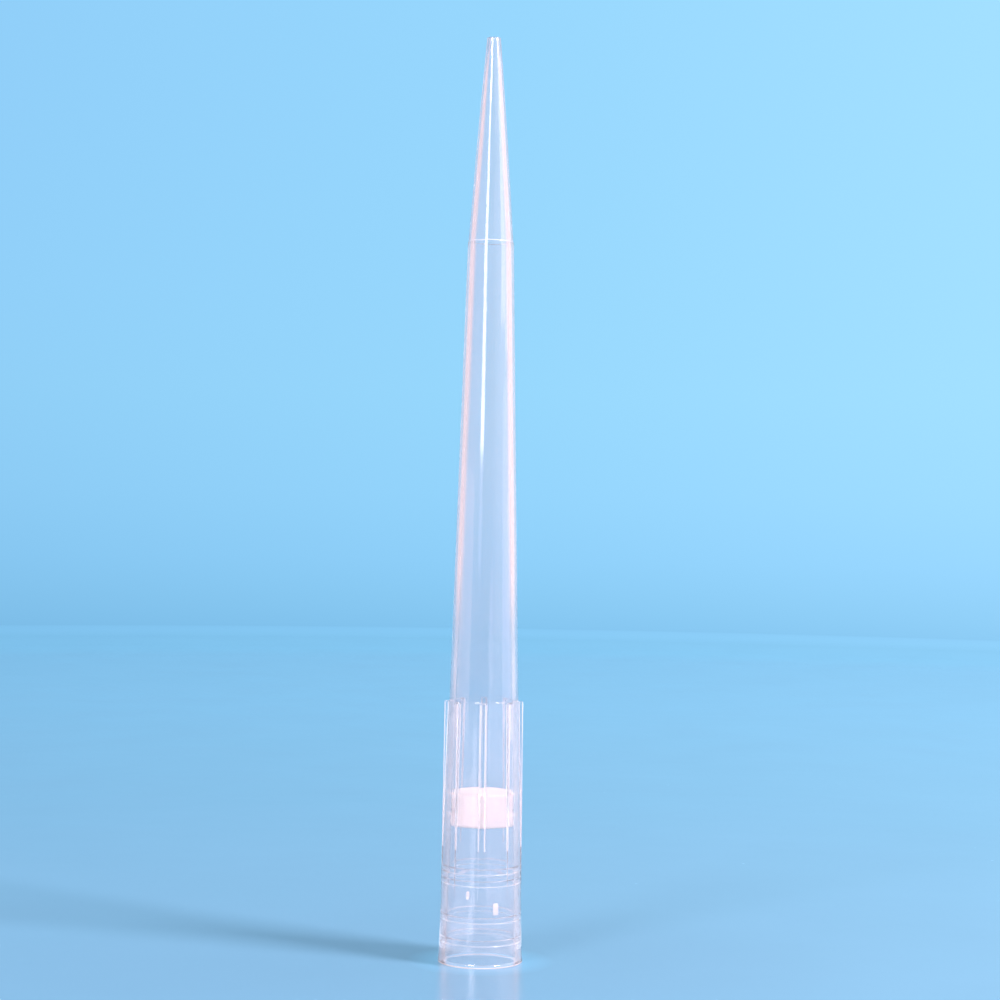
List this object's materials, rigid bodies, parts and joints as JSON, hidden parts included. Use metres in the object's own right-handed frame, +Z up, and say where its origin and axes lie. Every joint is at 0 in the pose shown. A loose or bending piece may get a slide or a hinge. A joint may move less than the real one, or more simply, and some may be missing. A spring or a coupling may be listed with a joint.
{
  "type": "pipette tip with filter",
  "caption": "Long clear filter pipette tip: a ribbed hub with sealing rings inside, a slender cone, a steeper nose and a white porous plug.",
  "frame": {"origin": "centre of the rim's flat underside, on the tip's axis", "axes": "+Z up the axis from the rim to the orifice, -Y towards one of the eight ribs, +X to the right of it"},
  "size_m": [0.0088, 0.0088, 0.0965],
  "materials": {
    "clear_polypropylene": "gloss",
    "porous_polyethylene": "matte"
  },
  "bodies": {
    "root": {"tip_body": "clear_polypropylene", "filter_plug": "porous_polyethylene"}
  },
  "joints": []
}
